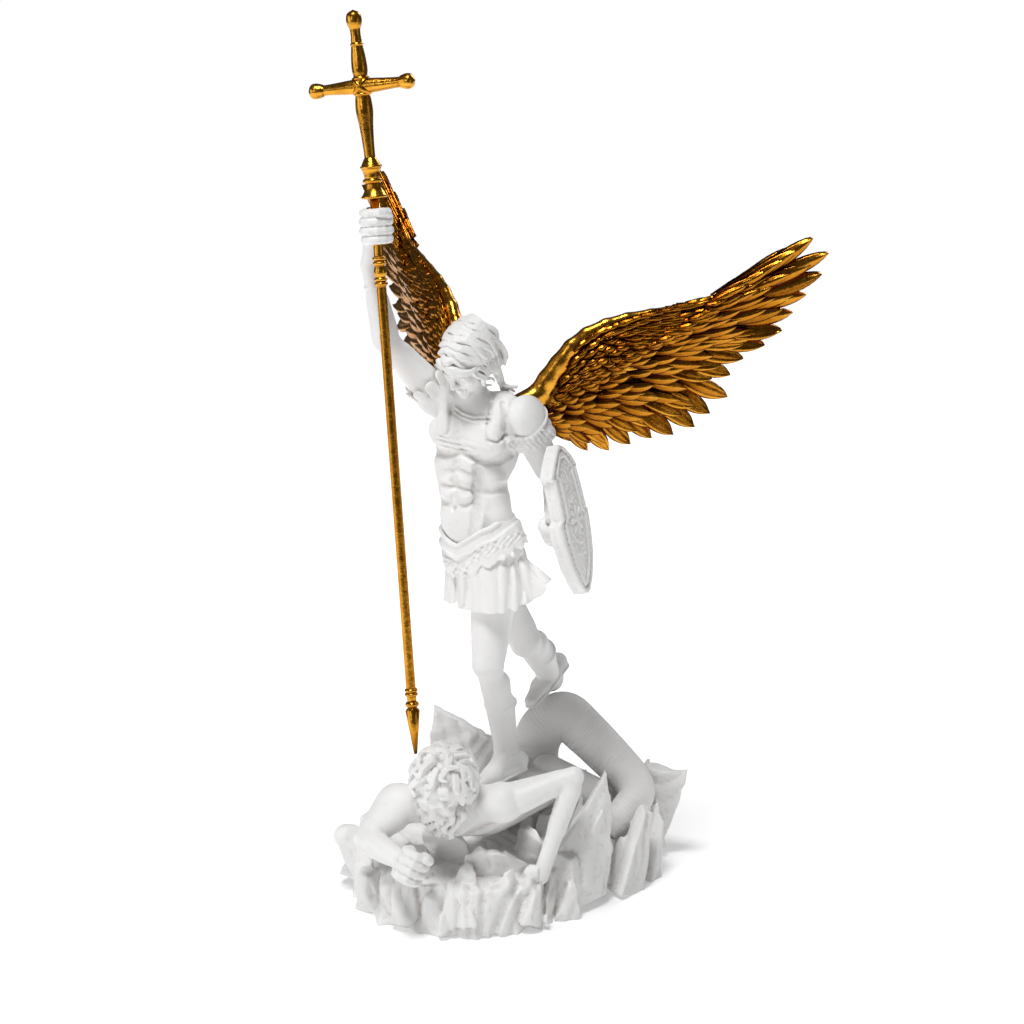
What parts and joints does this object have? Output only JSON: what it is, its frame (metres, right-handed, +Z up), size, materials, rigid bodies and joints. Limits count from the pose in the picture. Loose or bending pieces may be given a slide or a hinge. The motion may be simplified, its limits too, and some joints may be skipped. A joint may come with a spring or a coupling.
{
  "type": "archangel michael statue",
  "caption": "Winged archangel statue in classical armour, holding a cross-topped spear and a shield, standing on a fallen serpent-tailed demon on a jagged rock base.",
  "frame": {"origin": "on the floor under the middle of the rock base, on the base's flat underside", "axes": "+X to the viewer's right as the statue is shown, +Y away from the viewer, +Z up"},
  "size_m": [0.2248, 0.2016, 0.3907],
  "materials": {
    "white_resin": "matt white, smooth",
    "gold_paint": "glossy metallic gold paint"
  },
  "bodies": {
    "root": {"archangel": "white_resin", "rock_base": "white_resin", "wing_left": "gold_paint", "wing_right": "gold_paint", "shield": "white_resin", "spear_shaft": "gold_paint", "cross_head": "gold_paint"}
  },
  "joints": []
}
